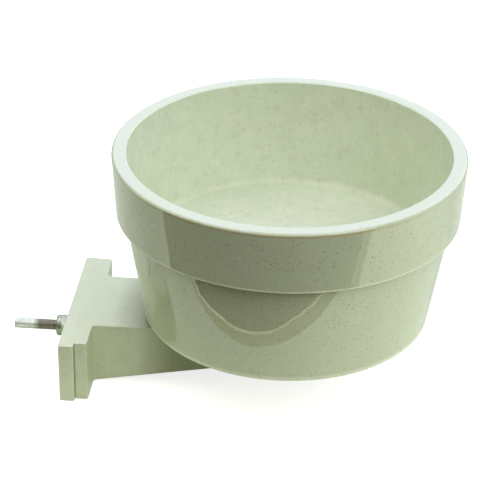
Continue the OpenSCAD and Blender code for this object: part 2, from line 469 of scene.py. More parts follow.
class Shader:
    """The node tree of one material or world, filled by short calls."""

    def __init__(self, owner: bpy.types.Material | bpy.types.World) -> None:
        """Starts an empty tree with its output node.

        Args:
            owner: The material or world that the tree belongs to.
        """
        self.owner = owner
        owner.use_nodes = True
        self.tree = owner.node_tree
        self.tree.nodes.clear()
        self.output = self.add("OutputWorld" if isinstance(owner, bpy.types.World) else "OutputMaterial")

    @cached_property
    def place(self) -> Socket:
        """The object's own coordinates."""
        return self.add("TexCoord").outputs["Object"]

    def add(self, kind: str, sockets: Inputs | None = None, **settings: object) -> bpy.types.Node:
        """Adds one node.

        Args:
            kind: The node's type, without its ShaderNode prefix.
            sockets: Values, or sockets to join, by input name or number.
            settings: The node's own properties.

        Returns:
            The new node.
        """
        node = self.tree.nodes.new("ShaderNode" + kind)
        for key, value in settings.items():
            setattr(node, key, value)
        for key, value in (sockets or {}).items():
            if isinstance(value, Socket):
                self.tree.links.new(value, node.inputs[key])
            else:
                node.inputs[key].default_value = value
        return node

    def along(self, axis: str) -> Socket:
        """Returns the place along one axis of the object, X, Y or Z."""
        return self.add("SeparateXYZ", {"Vector": self.place}).outputs[axis]

    def noise(self, size: float, detail: float) -> Socket:
        """Returns clouds of a size, in metres, with a number of finer layers."""
        texture = self.add("TexNoise", {"Vector": self.place, "Scale": 1 / size, "Detail": detail})
        return texture.outputs["Fac"]

    def bump(self, height: Socket, depth: float, skin: Socket | None = None) -> Socket:
        """Returns a surface direction that rises and falls.

        Args:
            height: The relief, 0 to 1.
            depth: How deep the relief is, in metres.
            skin: The surface direction that it is laid over.

        Returns:
            The surface direction.
        """
        sockets = {"Height": height, "Strength": 1.0, "Distance": depth}
        if skin is not None:
            sockets["Normal"] = skin
        return self.add("Bump", sockets).outputs["Normal"]

    def ramp(
        self, value: Socket, start: float, end: float, first: float | Socket = 0.0, last: float | Socket = 1.0
    ) -> Socket:
        """Turns one range of values evenly into another, and stops at its ends.

        Args:
            value: What is turned.
            start: The value that gives the first result.
            end: The value that gives the last result.
            first: The first result.
            last: The last result.

        Returns:
            The result.
        """
        ends = {"From Min": start, "From Max": end, "To Min": first, "To Max": last}
        return self.add("MapRange", {"Value": value, **ends}).outputs["Result"]

    def uneven(self, clouds: Socket, level: float, shares: tuple[float, float]) -> Socket:
        """Returns a value that the clouds vary between two shares of its level."""
        return self.ramp(clouds, 0.0, 1.0, level * shares[0], level * shares[1])

    def math(self, operation: str, *values: float | Socket) -> Socket:
        """Adds one sum.

        Args:
            operation: Name of the sum, such as SUBTRACT.
            values: Its inputs, numbers or sockets.

        Returns:
            The result.
        """
        return self.add("Math", dict(enumerate(values)), operation=operation).outputs[0]

    def product(self, first: Socket, *others: float | Socket) -> Socket:
        """Multiplies masks, and keeps the result between 0 and 1 after each one.

        Args:
            first: The first mask.
            others: What it is multiplied by, one after the other.

        Returns:
            The result.
        """
        for other in others:
            first = self.add("Math", {0: first, 1: other}, operation="MULTIPLY", use_clamp=True).outputs[0]
        return first

    def blend(self, share: Socket, first: Rgb | Socket, second: Rgb | Socket) -> Socket:
        """Mixes two colours.

        Args:
            share: How much of the second colour shows, 0 to 1.
            first: A colour or a socket.
            second: A colour or a socket.

        Returns:
            The mixed colour.
        """
        below, above = (value if isinstance(value, Socket) else (*value, 1) for value in (first, second))
        return self.add("Mix", {0: share, 6: below, 7: above}, data_type="RGBA").outputs[2]

    def mix(self, share: Socket, first: Socket, second: Socket) -> Socket:
        """Mixes two surfaces, of which the second shows where the share is 1."""
        return self.add("MixShader", {0: share, 1: first, 2: second}).outputs["Shader"]

    def glow(self, colour: Rgb, strength: float | Socket = 1.0) -> Socket:
        """Returns a surface that gives off light of its own."""
        return self.add("Emission", {"Color": (*colour, 1), "Strength": strength}).outputs["Emission"]

    def surface(self, sockets: Inputs) -> bpy.types.Material:
        """Closes the tree with a principled surface that has these inputs."""
        return self.close(self.add("BsdfPrincipled", sockets).outputs["BSDF"])

    def close(self, surface: Socket) -> bpy.types.Material | bpy.types.World:
        """Joins the surface to the output and returns what the tree belongs to."""
        self.tree.links.new(surface, self.output.inputs["Surface"])
        return self.owner


@dataclass(frozen=True)
class Speck:
    """One kind of speck scattered through the plastic."""

    spacing: float
    radius: float
    share: float
    strength: float
    colour: Rgb

    def mask(self, shader: Shader, softness: float) -> Socket:
        """Returns where the specks are, up to their strength.

        Args:
            shader: The material being made.
            softness: Width of a speck's blurred edge, as a share of its radius.

        Returns:
            The mask, 0 where there is none.
        """
        grid = {"Vector": shader.place, "Scale": 1 / self.spacing, "Randomness": 1.0}
        cells = shader.add("TexVoronoi", grid)
        chance = shader.add("SeparateColor", {"Color": cells.outputs["Color"]})
        reach = self.radius / self.spacing
        size = shader.math("MULTIPLY_ADD", chance.outputs["Green"], reach, reach * softness)
        depth = shader.math("SUBTRACT", size, cells.outputs["Distance"])
        chosen = shader.math("LESS_THAN", chance.outputs["Red"], self.share)
        return shader.product(depth, 1 / (reach * softness), chosen, self.strength)


@dataclass(frozen=True)
class EdgeLineAndHighlight:
    """A level band of colour along a moulded edge: the warm ones are lines of colour, the pale ones painted
    highlights.
    """

    height: float
    half_w: float
    strength: float
    tint: Rgb
    front_y: float = 0.0
    core_share: float = 1 / 3
    fade_share: float = 0.6
    grain: float = 2 * MM

    def mask(self, shader: Shader) -> Socket:
        """Returns a ragged level band, strongest at its middle and, with a front_y, only in front.

        Args:
            shader: The material being made.

        Returns:
            The mask, 0 away from the edge.
        """
        ragged = shader.noise(self.grain, 3.0)
        away = shader.math("ABSOLUTE", shader.math("SUBTRACT", shader.along("Z"), self.height))
        mask = shader.product(shader.ramp(away, self.half_w, self.half_w * self.core_share), ragged)
        if self.front_y:
            ahead = shader.ramp(shader.along("Y"), self.front_y * self.fade_share, self.front_y)
            mask = shader.product(mask, ahead)
        return shader.product(mask, self.strength)


@dataclass(frozen=True)
class PaintedCupShade:
    """Painted shade where the cup shades the bracket: on the arm's top near the cup, deepest in corners, and
    on every side under the cup.

    Each pair, of places along X, openness or facing upwards, is where the painted shade starts and where it
    is full.
    """

    tint: Rgb = (0.20, 0.22, 0.08)
    reach: float = 18 * MM
    openness: tuple[float, float] = (0.92, 0.42)
    upward: tuple[float, float] = (0.3, 0.8)
    near_cup: tuple[float, float] = (4 * MM, 9.6 * MM)
    under_cup: tuple[float, float] = (24 * MM, 40 * MM)
    under_strength: float = 0.78
    samples: int = 12

    def mask(self, shader: Shader) -> Socket:
        """Returns where shade is painted: on top near the cup, and on every side under it.

        Args:
            shader: The material being made.

        Returns:
            The mask, 0 where no shade is painted.
        """
        corners = shader.add("AmbientOcclusion", {"Distance": self.reach}, samples=self.samples)
        facing = shader.add("SeparateXYZ", {"Vector": shader.add("NewGeometry").outputs["Normal"]})
        on_top = shader.product(
            shader.ramp(corners.outputs["AO"], *self.openness),
            shader.ramp(shader.along("X"), *self.near_cup),
            shader.ramp(facing.outputs["Z"], *self.upward),
        )
        under = shader.ramp(shader.along("X"), *self.under_cup, 0.0, self.under_strength)
        return shader.math("MAXIMUM", on_top, under)


@dataclass(frozen=True)
class SpeckledPlastic:
    """Pale moulded plastic with mineral specks in it."""

    name: str
    base: Rgb
    mottle: Rgb
    roughness: float
    coat: float
    wave: float
    grain: float
    specks: tuple[Speck, ...]
    mottle_size: float = 9 * MM
    wave_size: float = 14 * MM
    grain_size: float = 0.5 * MM
    edge_softness: float = 0.5
    ior: float = 1.5
    coat_roughness: float = 0.02
    roughness_shares: tuple[float, float] = (0.85, 1.15)
    painted_cup_shade: PaintedCupShade | None = None
    # Level edge bands: warm lines of colour, and pale painted highlights.
    edge_lines_and_highlights: tuple[EdgeLineAndHighlight, ...] = ()

    def build(self) -> bpy.types.Material:
        """Makes the material.

        Returns:
            The finished material.
        """
        shader = Shader(bpy.data.materials.new(self.name))
        clouds = shader.noise(self.mottle_size, 4.0)
        colour = shader.blend(clouds, self.base, self.mottle)
        for speck in self.specks:
            colour = shader.blend(speck.mask(shader, self.edge_softness), colour, speck.colour)
        # Painted shade of the cup over the bracket.
        if self.painted_cup_shade:
            colour = shader.blend(self.painted_cup_shade.mask(shader), colour, self.painted_cup_shade.tint)
        # Edge bands, of which the pale ones paint highlights.
        for edge in self.edge_lines_and_highlights:
            colour = shader.blend(edge.mask(shader), colour, edge.tint)
        waves = shader.bump(shader.noise(self.wave_size, 1.0), self.wave)
        return shader.surface({
            "Base Color": colour,
            "Roughness": shader.uneven(clouds, self.roughness, self.roughness_shares),
            "IOR": self.ior,
            "Coat Weight": self.coat,
            "Coat Roughness": self.coat_roughness,
            "Normal": shader.bump(shader.noise(self.grain_size, 2.0), self.grain, waves),
            "Coat Normal": waves,
        })


@dataclass(frozen=True)
class PlatedSteel:
    """Plated steel with stains and fine drawing lines, painted shade on its underside, and a painted shadow
    on the thread next to the nut and round the bolt on the nut.
    """

    name: str
    base: Rgb
    tarnish: Rgb
    roughness: float
    stains: tuple[float, float] = (0.45, 0.9)
    stain_size: float = 3 * MM
    # Where the painted shadow lies: along X, by height and by distance from the bolt's axis.
    painted_shadow_x: tuple[float, float] = (-24.5 * MM, -21.5 * MM)
    painted_shadow_z: tuple[float, float] = (-1.75 * MM, -0.875 * MM)
    painted_shadow_r: tuple[float, float] = (4.55 * MM, 3.5 * MM)
    painted_shadow: Rgb = (0.15, 0.14, 0.085)
    painted_shadow_strength: float = 0.85
    # Painted shade: the steel turns to this colour towards its underside, below underside_z.
    underside: Rgb = (0.42, 0.46, 0.34)
    underside_z: float = -1.75 * MM
    line_size: float = 0.12 * MM
    line_depth: float = 0.004 * MM
    roughness_shares: tuple[float, float] = (0.7, 1.5)

    def painted_shadow_mask(self, shader: Shader) -> Socket:
        """Returns where the shadow is painted: on the upper side of the thread next to the nut, and close
        round the bolt on the washer and nut.

        Args:
            shader: The material being made.

        Returns:
            The mask, up to the painted shadow's strength.
        """
        across = shader.add("VectorMath", {0: shader.place, 1: (0, 1, 1)}, operation="MULTIPLY")
        radius = shader.add("VectorMath", {0: across.outputs["Vector"]}, operation="LENGTH")
        return shader.product(
            shader.ramp(shader.along("X"), *self.painted_shadow_x),
            shader.ramp(radius.outputs["Value"], *self.painted_shadow_r),
            shader.ramp(shader.along("Z"), *self.painted_shadow_z),
            self.painted_shadow_strength,
        )

    def build(self) -> bpy.types.Material:
        """Makes the material.

        Returns:
            The finished material.
        """
        shader = Shader(bpy.data.materials.new(self.name))
        clouds = shader.noise(self.stain_size, 5.0)
        stained = shader.blend(shader.ramp(clouds, *self.stains), self.base, self.tarnish)
        # Painted shade, darker towards the underside.
        below = shader.ramp(shader.along("Z"), 0.0, self.underside_z)
        shaded = shader.blend(below, stained, self.underside)
        # The painted shadow next to the nut lies over the painted underside shade.
        return shader.surface({
            "Base Color": shader.blend(self.painted_shadow_mask(shader), shaded, self.painted_shadow),
            "Metallic": 1.0,
            "Roughness": shader.uneven(clouds, self.roughness, self.roughness_shares),
            "Normal": shader.bump(shader.noise(self.line_size, 2.0), self.line_depth),
        })


@dataclass(frozen=True)
class Nylon:
    """Off-white nylon of the nut's locking ring."""

    name: str = "nut_ring_nylon"
    base: Rgb = (0.80, 0.82, 0.76)
    shade: Rgb = (0.66, 0.68, 0.60)
    cloud_size: float = 1.5 * MM
    roughness: float = 0.42

    def build(self) -> bpy.types.Material:
        """Makes the material.

        Returns:
            The finished material.
        """
        shader = Shader(bpy.data.materials.new(self.name))
        colour = shader.blend(shader.noise(self.cloud_size, 3.0), self.base, self.shade)
        return shader.surface({"Base Color": colour, "Roughness": self.roughness})


DARK_SPECK = Speck(1.25 * MM, 0.21 * MM, 0.80, 0.72, (0.22, 0.14, 0.045))
OLIVE_SPECK = Speck(1.7 * MM, 0.42 * MM, 0.60, 0.34, (0.29, 0.31, 0.16))
BLUR_SPECK = Speck(4.2 * MM, 1.0 * MM, 0.5, 0.16, (0.40, 0.44, 0.29))
FAINT_SPECK = Speck(2.3 * MM, 0.55 * MM, 0.45, 0.15, (0.33, 0.35, 0.20))
PALE_SPECK = Speck(3.0 * MM, 0.60 * MM, 0.35, 0.30, (0.80, 0.84, 0.70))

# Painted sheen along the top of the rim's outer edge.
RIM_PAINTED_SHEEN = EdgeLineAndHighlight(92.3 * MM, 0.5 * MM, 1.0, (0.64, 0.70, 0.61))
WARM_RIM_LINE = EdgeLineAndHighlight(90.9 * MM, 0.65 * MM, 1.0, (0.58, 0.43, 0.16), front_y=-62 * MM)
# Painted highlight along the collar's lower edge, standing in for the floor's reflection in it.
COLLAR_FOOT_PAINTED_HIGHLIGHT = EdgeLineAndHighlight(65.4 * MM, 0.7 * MM, 2.2, (0.98, 0.98, 0.72))
# Painted highlight along the cup's foot edge and the body just above it.
FOOT_PAINTED_HIGHLIGHT = EdgeLineAndHighlight(17.7 * MM, 1.8 * MM, 1.2, (0.98, 1.0, 0.76))
WARM_FOOT_LINE = EdgeLineAndHighlight(16.75 * MM, 0.45 * MM, 1.2, (0.80, 0.66, 0.34))

CUP_PLASTIC = SpeckledPlastic(
    "speckled_gloss_plastic",
    base=(0.655, 0.722, 0.488),
    mottle=(0.587, 0.657, 0.43),
    roughness=0.02,
    coat=0.2,
    wave=0.022 * MM,
    grain=0.0,
    specks=(PALE_SPECK, OLIVE_SPECK, DARK_SPECK),
    wave_size=7 * MM,
    edge_lines_and_highlights=(RIM_PAINTED_SHEEN, WARM_RIM_LINE, COLLAR_FOOT_PAINTED_HIGHLIGHT, FOOT_PAINTED_HIGHLIGHT, WARM_FOOT_LINE),
)
# The bowl's inside: a rougher, matte finish, and a paler colour than the outside that is painted light.
INSIDE_PLASTIC = SpeckledPlastic(
    "speckled_matte_plastic_painted_light",
    base=(0.73, 0.785, 0.61),
    mottle=(0.60, 0.66, 0.49),
    roughness=0.6,
    coat=0.0,
    wave=0.012 * MM,
    grain=0.004 * MM,
    specks=(PALE_SPECK, BLUR_SPECK, FAINT_SPECK),
    mottle_size=7 * MM,
    edge_softness=1.4,
)
BRACKET_PLASTIC = SpeckledPlastic(
    "speckled_satin_plastic",
    base=(0.72, 0.775, 0.55),
    mottle=(0.65, 0.71, 0.49),
    roughness=0.36,
    coat=0.35,
    wave=0.03 * MM,
    grain=0.006 * MM,
    specks=(PALE_SPECK, BLUR_SPECK, FAINT_SPECK),
    edge_softness=1.0,
    coat_roughness=0.3,
    painted_cup_shade=PaintedCupShade(),
)
BRIGHT_STEEL = PlatedSteel("plated_steel", (0.84, 0.88, 0.82), (0.50, 0.52, 0.45), 0.40)
# A darker copy of the plated steel for the washer and nut: painted shade of the clamp plate over them.
STEEL_PAINTED_SHADE = PlatedSteel("shaded_steel_copy", (0.40, 0.43, 0.35), (0.26, 0.29, 0.22), 0.34)


@dataclass
class TwistLock:
    """Sizes that the cup's socket and the bracket's spigot share."""

    spigot_r: float = 15 * MM
    lug_reach: float = 4 * MM
    lug_t: float = 3 * MM
    lug_angle: float = 40
    lug_count: int = 2
    ring_t: float = 3 * MM
    turn: float = 60
    play: float = 0.3 * MM
    first_lug: float = 90
    notch_slack: float = 3
    stop_angle: float = 6
    stop_slack: float = 1
    steps: int = 96
    sector_steps: int = 12

    def lug_mid(self, number: int) -> float:
        """Returns the angle of a lug's middle, in degrees."""
        return self.first_lug + number * 360 / self.lug_count

    def lug_heights(self, cup_foot: float) -> tuple[float, float]:
        """Returns the heights of a lug's underside and top over the cup's foot."""
        foot = cup_foot + self.ring_t + self.play
        return foot, foot + self.lug_t

    def sector(
        self,
        name: str,
        radii: tuple[float, float],
        heights: tuple[float, float],
        mid: float,
        span: float,
        centre: Vector,
    ) -> Workpiece:
        """Makes a slice of a ring round the lock's axis.

        Args:
            name: The object's name.
            radii: Inner and outer radius.
            heights: Lower and upper height.
            mid: Angle of its middle, in degrees.
            span: Angle that it spans, in degrees.
            centre: A point on the axis.

        Returns:
            The slice.
        """
        outer = arc(centre.x, centre.y, radii[1], mid - span / 2, mid + span / 2, self.sector_steps)
        inner = arc(centre.x, centre.y, radii[0], mid + span / 2, mid - span / 2, self.sector_steps)
        return Workpiece.slab(name, outer + inner, *heights)


@dataclass
class Cup:
    """The round cup: rim, collar, tapering body, hollow foot and lock socket."""

    lock: TwistLock
    outside: bpy.types.Material
    inside: bpy.types.Material
    steps: int = 256
    rim_band: float = 6.5 * MM
    rim_edge: float = 1.2 * MM
    rim_inner_edge: float = 0.8 * MM
    collar_h: float = 27.4 * MM
    collar_draft: float = 1.5 * MM
    collar_edge: float = 0.8 * MM
    collar_step: float = 3.4 * MM
    collar_root: float = 0.5 * MM
    root_bend_share: float = 0.3
    body_draft: float = 8.05 * MM
    foot_edge: float = 1.6 * MM
    bowl_depth: float = 47 * MM
    bend_depth: float = 26.6 * MM
    wall_t: float = 3.2 * MM
    fillet: float = 3 * MM
    fillet_steps: int = 8
    floor_t: float = 3.2 * MM
    socket_wall: float = 3 * MM
    level_normal: float = 0.9

    def __post_init__(self) -> None:
        """Reads the cup's place from the frame."""
        low, high = node_box(Part.CUP)
        self.centre = Vector(((low.x + high.x) / 2, 0, 0))
        self.rim_r = (high.x - low.x) / 2 - MARGIN
        self.rim_z = high.z - MARGIN
        self.foot_z = low.z + MARGIN
        self.floor_z = self.rim_z - self.bowl_depth

    def outline(self) -> Outline:
        """Works out the cup's section.

        Returns:
            Its points as (radius, height), foot to rim to floor to underside.
        """
        collar_z = self.rim_z - self.collar_h
        collar_r = self.rim_r - self.collar_draft
        body_r = collar_r - self.collar_step
        foot_r = body_r - self.body_draft
        slope = self.body_draft / (collar_z - self.foot_z)
        mouth_r = self.rim_r - self.rim_band
        lip = self.rim_inner_edge
        bend_r = body_r - self.wall_t
        floor_r = bend_r - slope * (collar_z - self.floor_z)
        under_z = self.floor_z - self.floor_t
        skirt_r = foot_r - self.wall_t
        root = self.collar_root
        bend = root * self.root_bend_share
        return [
            (skirt_r, self.foot_z),
            *arc(foot_r - self.foot_edge, self.foot_z + self.foot_edge, self.foot_edge, -90, 0),
            (body_r - slope * root, collar_z - root),
            (body_r + bend, collar_z - bend),
            (body_r + root, collar_z),
            *arc(collar_r - self.collar_edge, collar_z + self.collar_edge, self.collar_edge, -90, 0),
            *arc(self.rim_r - self.rim_edge, self.rim_z - self.rim_edge, self.rim_edge, 0, 90),
            *arc(mouth_r + lip, self.rim_z - lip, lip, 90, 180),
            (bend_r, self.rim_z - self.bend_depth),
            *arc(floor_r - self.fillet, self.floor_z + self.fillet, self.fillet, 0, -90, self.fillet_steps),
            (0, self.floor_z),
            (0, under_z),
            (skirt_r + slope * (under_z - self.foot_z), under_z),
            (skirt_r, self.foot_z),
        ]

    def socket(self) -> Workpiece:
        """Makes the lock's half under the cup.

        Returns:
            The tube under the floor, with its notched ring and stops.
        """
        lock = self.lock
        hole_r = lock.spigot_r + lock.play
        inner_r = lock.spigot_r + lock.lug_reach + 2 * lock.play
        outer_r = inner_r + self.socket_wall
        ring_z = self.foot_z + lock.ring_t
        top_z = self.floor_z - self.floor_t / 2
        section = [
            (hole_r, self.foot_z),
            (outer_r, self.foot_z),
            (outer_r, top_z),
            (inner_r, top_z),
            (inner_r, ring_z),
            (hole_r, ring_z),
        ]
        tube = Workpiece.turned("lock_socket", section, self.centre, UP, lock.steps, closed=True)
        notch_radii = (lock.spigot_r, inner_r)
        notch_heights = (self.foot_z - OVER, ring_z + OVER)
        notch_angle = lock.lug_angle + 2 * lock.notch_slack
        stop_radii = (hole_r, inner_r + self.socket_wall / 2)
        stop_heights = (ring_z - lock.ring_t / 2, lock.lug_heights(self.foot_z)[1])
        near = lock.lug_angle / 2 + lock.stop_slack + lock.stop_angle / 2
        for number in range(lock.lug_count):
            mid = lock.lug_mid(number)
            open_mid = mid - lock.turn
            notch = lock.sector("notch", notch_radii, notch_heights, open_mid, notch_angle, self.centre)
            tube.combine(notch, Join.CUT)
            for angle in (mid + near, open_mid - near):
                stop = lock.sector("stop", stop_radii, stop_heights, angle, lock.stop_angle, self.centre)
                tube.combine(stop, Join.ADD)
        return tube

    def dull_inside(self, cup: Workpiece) -> None:
        """Gives the bowl's inner wall and floor their duller finish, whose paler colour is painted light.

        Args:
            cup: The finished cup.
        """
        cup.body.data.materials.append(self.inside)
        mouth_r = self.rim_r - self.rim_band + MARGIN
        lip_z = self.rim_z - self.rim_inner_edge
        for face in cup.body.data.polygons:
            out = (face.center - self.centre).xy
            inward = face.normal.xy.dot(out) < 0 or face.normal.z > self.level_normal
            if self.floor_z - self.floor_t / 2 < face.center.z < lip_z and out.length < mouth_r and inward:
                face.material_index = 1

    def build(self) -> None:
        """Makes the cup and gives it its two finishes."""
        cup = Workpiece.turned("cup_moulding", self.outline(), self.centre, UP, self.steps)
        cup.combine(self.socket(), Join.ADD)
        cup.finish(self.outside, Part.CUP, Body.CUP, Slot.CUP)
        self.dull_inside(cup)


@dataclass
class Bracket:
    """The flange, the hollow arm and the spigot that carries the cup."""

    lock: TwistLock
    material: bpy.types.Material
    reach: float
    cup_foot: float
    hole_r: float
    flange_t: float = 5.65 * MM
    flange_side: float = 1.0 * MM
    flange_edge: float = 0.5 * MM
    root_w: float = 43.7 * MM
    tip_w: float = 40.2 * MM
    tip_steps: int = 32
    tip_h: float = 13.5 * MM
    under_share: float = 0.99
    wall_t: float = 3.2 * MM
    rib_t: float = 2.4 * MM
    rib_gap: float = 8.54 * MM
    arm_edge: float = 0.5 * MM
    root_fillet: float = 1.5 * MM
    root_steps: int = 8
    shoulder_h: float = 2.5 * MM
    shoulder_set_in: float = 0.3 * MM
    spigot_edge: float = 0.5 * MM
    lug_set_down: float = 0.125 * MM
    edge_steps: int = 3
    same_way: float = 0.99

    def __post_init__(self) -> None:
        """Reads the bracket's place from the frame and lays the arm's sloping underside."""
        low, high = node_box(Part.BRACKET)
        self.half_w = (high.y - low.y) / 2 - MARGIN
        self.foot_z = low.z + MARGIN
        self.top_z = self.cup_foot - self.shoulder_h
        self.tip_r = self.tip_w / 2
        self.centre = Vector((self.reach, 0, 0))
        root_z = low.z * self.under_share
        slope = (self.top_z - self.tip_h - root_z) / (self.reach - self.flange_t)
        self.under_point = Vector((self.flange_t, 0, root_z))
        self.under_normal = Vector((slope, 0, -1)).normalized()

    def arm(self) -> Workpiece:
        """Makes the hollow arm.

        Returns:
            A trough, open underneath, whose underside climbs towards the cup.
        """
        start = self.flange_t - self.wall_t
        half_root = self.root_w / 2
        half_start = half_root + (self.tip_r - half_root) * start / self.reach
        tip = arc(self.reach, 0, self.tip_r, -90, 90, self.tip_steps)
        plan = [(start, -half_start), *tip, (start, half_start)]
        arm = Workpiece.slab("bracket_moulding", plan, self.foot_z - OVER, self.top_z)
        arm.slice_off(self.under_point, self.under_normal)
        top = self.top_z - MARGIN
        arm.round_edges(lambda a, b: min(a.z, b.z) > top and max(a.x, b.x) > start + NEAR, self.arm_edge)
        if arm.pick_faces(lambda normal: normal.dot(self.under_normal) > self.same_way):
            bpy.ops.mesh.inset(thickness=self.wall_t, depth=0)
            bpy.ops.mesh.extrude_region_move(TRANSFORM_OT_translate={"value": (0, 0, MM)})
            bpy.ops.transform.resize(value=(1, 1, 0))
        arm.level_selection(self.top_z - self.wall_t)
        arm.slice_off(Vector((0, 0, self.foot_z + MARGIN)), -UP)
        return arm

    def rib(self, side: int) -> Workpiece:
        """Returns one of the two ribs that keep the bolt's head from turning.

        Args:
            side: 1 or -1, for which side of the bolt.

        Returns:
            The rib, overlapping the flange and the arm.
        """
        mid = side * (self.rib_gap + self.rib_t) / 2
        inside = self.wall_t / 2
        rib = Workpiece.block(
            "rib",
            Vector((self.flange_t - OVER, mid - self.rib_t / 2, self.foot_z)),
            Vector((self.reach + self.tip_r - inside, mid + self.rib_t / 2, self.top_z - inside)),
        )
        rib.slice_off(self.under_point, self.under_normal)
        return rib

    def fillet(self, side: int) -> Workpiece:
        """Returns the hollow fillet between the flange and one side of the arm.

        Args:
            side: 1 or -1, for which side of the arm.

        Returns:
            The fillet, overlapping both.
        """
        lean = math.atan((self.tip_r - self.root_w / 2) / self.reach)
        x = self.flange_t + self.root_fillet
        y = self.root_w / 2 + x * math.tan(lean) + self.root_fillet / math.cos(lean)
        curve = arc(x, y, self.root_fillet, 180, 270 + math.degrees(lean), self.root_steps)
        end_x, end_y = curve[-1]
        back = self.flange_t - OVER
        outline = [*curve, (end_x, end_y - OVER), (back, end_y - OVER), (back, y)]
        wedge = Workpiece.slab(
            "fillet", [(a, side * b) for a, b in outline], self.foot_z - OVER, self.top_z - MARGIN
        )
        wedge.slice_off(self.under_point, self.under_normal)
        return wedge

    def spigot(self) -> Workpiece:
        """Makes the lock's half on the arm.

        Returns:
            The shoulder, spigot and lugs, standing on the arm's end.
        """
        lock = self.lock
        lug_foot, lug_top = lock.lug_heights(self.cup_foot)
        inside = self.top_z - self.wall_t / 2
        edge = self.spigot_edge
        shoulder_r = self.tip_r - self.shoulder_set_in
        section = [
            (0, inside),
            (shoulder_r, inside),
            *arc(shoulder_r - edge, self.cup_foot - edge, edge, 0, 90, self.edge_steps),
            (lock.spigot_r, self.cup_foot),
            *arc(lock.spigot_r - edge, lug_top - edge, edge, 0, 90, self.edge_steps),
            (0, lug_top),
        ]
        post = Workpiece.turned("spigot", section, self.centre, UP, lock.steps)
        radii = (lock.spigot_r - self.wall_t / 2, lock.spigot_r + lock.lug_reach)
        heights = (lug_foot, lug_top - self.lug_set_down)
        for number in range(lock.lug_count):
            lug = lock.sector("lug", radii, heights, lock.lug_mid(number), lock.lug_angle, self.centre)
            post.combine(lug, Join.ADD)
        return post

    def build(self) -> None:
        """Makes the bracket and gives it its finish."""
        bracket = self.arm()
        for side in (-1, 1):
            bracket.combine(self.rib(side), Join.ADD)
        flange = Workpiece.block(
            "flange",
            Vector((MARGIN, -self.half_w, self.foot_z)),
            Vector((self.flange_t, self.half_w, self.top_z - MARGIN)),
        )
        flange.round_plate(self.flange_side, self.flange_edge, MARGIN)
        bracket.combine(flange, Join.ADD)
        for side in (-1, 1):
            bracket.combine(self.fillet(side), Join.ADD)
        bracket.combine(self.spigot(), Join.ADD)
        core_foot = self.centre + UP * (self.foot_z - OVER)
        core_top = self.centre + UP * (self.lock.lug_heights(self.cup_foot)[1] - self.wall_t)
        core = Workpiece.drum("core", self.lock.spigot_r - self.wall_t, core_foot, core_top)
        bracket.combine(core, Join.CUT)
        bracket.combine(Workpiece.bar("bore", self.hole_r, -OVER, self.flange_t + OVER), Join.CUT)
        bracket.finish(self.material, Part.BRACKET, Body.BRACKET, Slot.BRACKET)


@dataclass
class ClampPlate:
    """The loose plate outside the cage wires."""

    material: bpy.types.Material
    hole_r: float
    side_round: float = 0.9 * MM
    edge_round: float = 0.5 * MM

    def build(self) -> None:
        """Makes the plate and gives it its finish."""
        low, high = node_box(Part.CLAMP_PLATE)
        inset = Vector((MARGIN, MARGIN, MARGIN))
        plate = Workpiece.block("clamp_plate_moulding", low + inset, high - inset)
        plate.round_plate(self.side_round, self.edge_round, high.x - MARGIN)
        plate.combine(Workpiece.bar("bore", self.hole_r, low.x - OVER, OVER), Join.CUT)
        plate.finish(self.material, Part.CLAMP_PLATE, Body.CLAMP, Slot.BRACKET)


